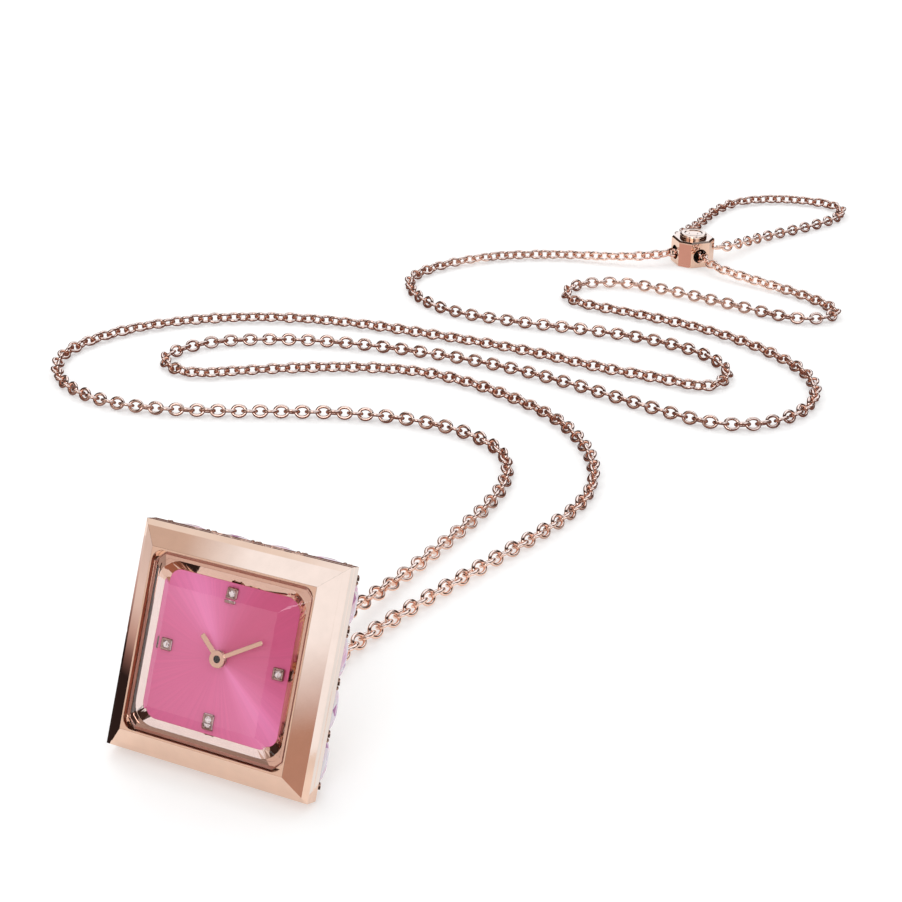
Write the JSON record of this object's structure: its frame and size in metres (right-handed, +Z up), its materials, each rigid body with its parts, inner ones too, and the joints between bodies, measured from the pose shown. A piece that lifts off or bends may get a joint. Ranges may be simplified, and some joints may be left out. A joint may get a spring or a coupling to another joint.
{
  "type": "pendant_watch",
  "caption": "Square pendant watch with a faceted glass, stone-set rear shoulder, hinged bail and a long cable chain through a sliding bead.",
  "frame": {"origin": "on the ground, midway in X and Y under the case with its bail, where the case stands on the stones of its lower shoulder", "axes": "+X to the 3 o'clock side, +Y from the dial to the back of the case, along the chain, +Z up"},
  "size_m": [0.1238, 0.2262, 0.0247],
  "materials": {
    "rose_gold": "polished rose gold",
    "chain_gold": "polished rose gold cable chain",
    "pink_stone": "faceted pink stones",
    "crystal_glass": "clear faceted mineral glass",
    "dial_pink": "pink sunray lacquer",
    "gasket_rubber": "matt",
    "silicone": "soft translucent silicone",
    "wheel_brass": "fine brushed",
    "steel": "satin",
    "coil_wire": "enamelled copper wire",
    "board_green": "solder mask",
    "chip_black": "moulded epoxy",
    "holder_plastic": "moulded plastic"
  },
  "bodies": {
    "case": {"bezel": "rose_gold", "case_frame": "rose_gold", "case_stones": "pink_stone", "crystal": "crystal_glass", "crystal_gasket": "gasket_rubber", "flange_ring": "rose_gold", "dial": "dial_pink", "marker_settings": "rose_gold", "marker_stones": "pink_stone", "main_plate": "wheel_brass", "train_bridge": "steel", "movement_screws": "steel", "stator": "steel", "coil_core": "steel", "coil": "coil_wire", "circuit_board": "board_green", "timing_chip": "chip_black", "quartz_can": "steel", "battery": "steel", "battery_clamp": "steel", "movement_holder": "holder_plastic", "crown_tube": "steel", "back_cover": "rose_gold", "back_gasket": "gasket_rubber", "bail_pin": "rose_gold", "jump_rings": "rose_gold", "slider_shell": "rose_gold", "slider_core": "silicone", "slider_base": "rose_gold", "slider_cap": "rose_gold", "chain_left": "chain_gold", "chain_right": "chain_gold", "chain_end_loop": "chain_gold"},
    "minute_drive": {"minute_hand": "rose_gold", "cannon_pinion": "steel", "centre_wheel": "wheel_brass"},
    "hour_drive": {"hour_hand": "rose_gold", "hour_wheel": "wheel_brass"},
    "minute_wheel_body": {"minute_wheel": "wheel_brass"},
    "third_body": {"third_wheel": "wheel_brass"},
    "intermediate_body": {"intermediate_wheel": "wheel_brass"},
    "rotor_body": {"rotor": "steel"},
    "crown_pull": {"crown_gasket": "gasket_rubber"},
    "crown_spin": {"crown": "rose_gold", "stem": "steel", "sliding_pinion": "steel"},
    "lever_body": {"setting_lever": "steel"},
    "bail_body": {"bail": "rose_gold"}
  },
  "joints": [
    {"name": "minute_hand_turn", "type": "hinge", "parent": "case", "child": "minute_drive", "pos_m": [0, -0.00286, 0.01346], "axis": [0, 0.8997, -0.4365], "continuous": true},
    {"name": "hour_hand_turn", "type": "hinge", "parent": "case", "child": "hour_drive", "pos_m": [0, -0.00259, 0.01333], "axis": [0, 0.8997, -0.4365], "continuous": true},
    {"name": "minute_wheel_turn", "type": "hinge", "parent": "case", "child": "minute_wheel_body", "pos_m": [-0.002, -0.00124, 0.01267], "axis": [0, 0.8997, -0.4365], "continuous": true},
    {"name": "third_wheel_turn", "type": "hinge", "parent": "case", "child": "third_body", "pos_m": [-0.00184, 0.00051, 0.01354], "axis": [0, 0.8997, -0.4365], "continuous": true},
    {"name": "intermediate_wheel_turn", "type": "hinge", "parent": "case", "child": "intermediate_body", "pos_m": [-0.00203, 0.00163, 0.01539], "axis": [0, 0.8997, -0.4365], "continuous": true},
    {"name": "rotor_turn", "type": "hinge", "parent": "case", "child": "rotor_body", "pos_m": [-0.00017, 0.0016, 0.01577], "axis": [0, 0.8997, -0.4365], "continuous": true},
    {"name": "crown_slide", "type": "slide", "parent": "case", "child": "crown_pull", "axis": [-1, 0, 0], "range_m": [0, 0.0006]},
    {"name": "crown_turn", "type": "hinge", "parent": "crown_pull", "child": "crown_spin", "pos_m": [-0.0124, -0.00115, 0.01263], "axis": [-1, 0, 0], "continuous": true},
    {"name": "setting_lever_swing", "type": "hinge", "parent": "case", "child": "lever_body", "pos_m": [-0.006, -0.00086, 0.01416], "axis": [0, 0.8997, -0.4365], "range_deg": [0, 23.6]},
    {"name": "bail_swing", "type": "hinge", "parent": "case", "child": "bail_body", "pos_m": [0, 0.00759, 0.02089], "axis": [1, 0, 0], "range_deg": [-10, 10]}
  ],
  "couplings": [
    {"joint": "hour_hand_turn", "follows": "minute_hand_turn", "ratio": 0.083333},
    {"joint": "minute_wheel_turn", "follows": "minute_hand_turn", "ratio": -0.33333},
    {"joint": "third_wheel_turn", "follows": "minute_hand_turn", "ratio": -3},
    {"joint": "intermediate_wheel_turn", "follows": "minute_hand_turn", "ratio": 15},
    {"joint": "rotor_turn", "follows": "minute_hand_turn", "ratio": -90},
    {"joint": "setting_lever_swing", "follows": "crown_slide", "rad_per_m": 683.59}
  ]
}
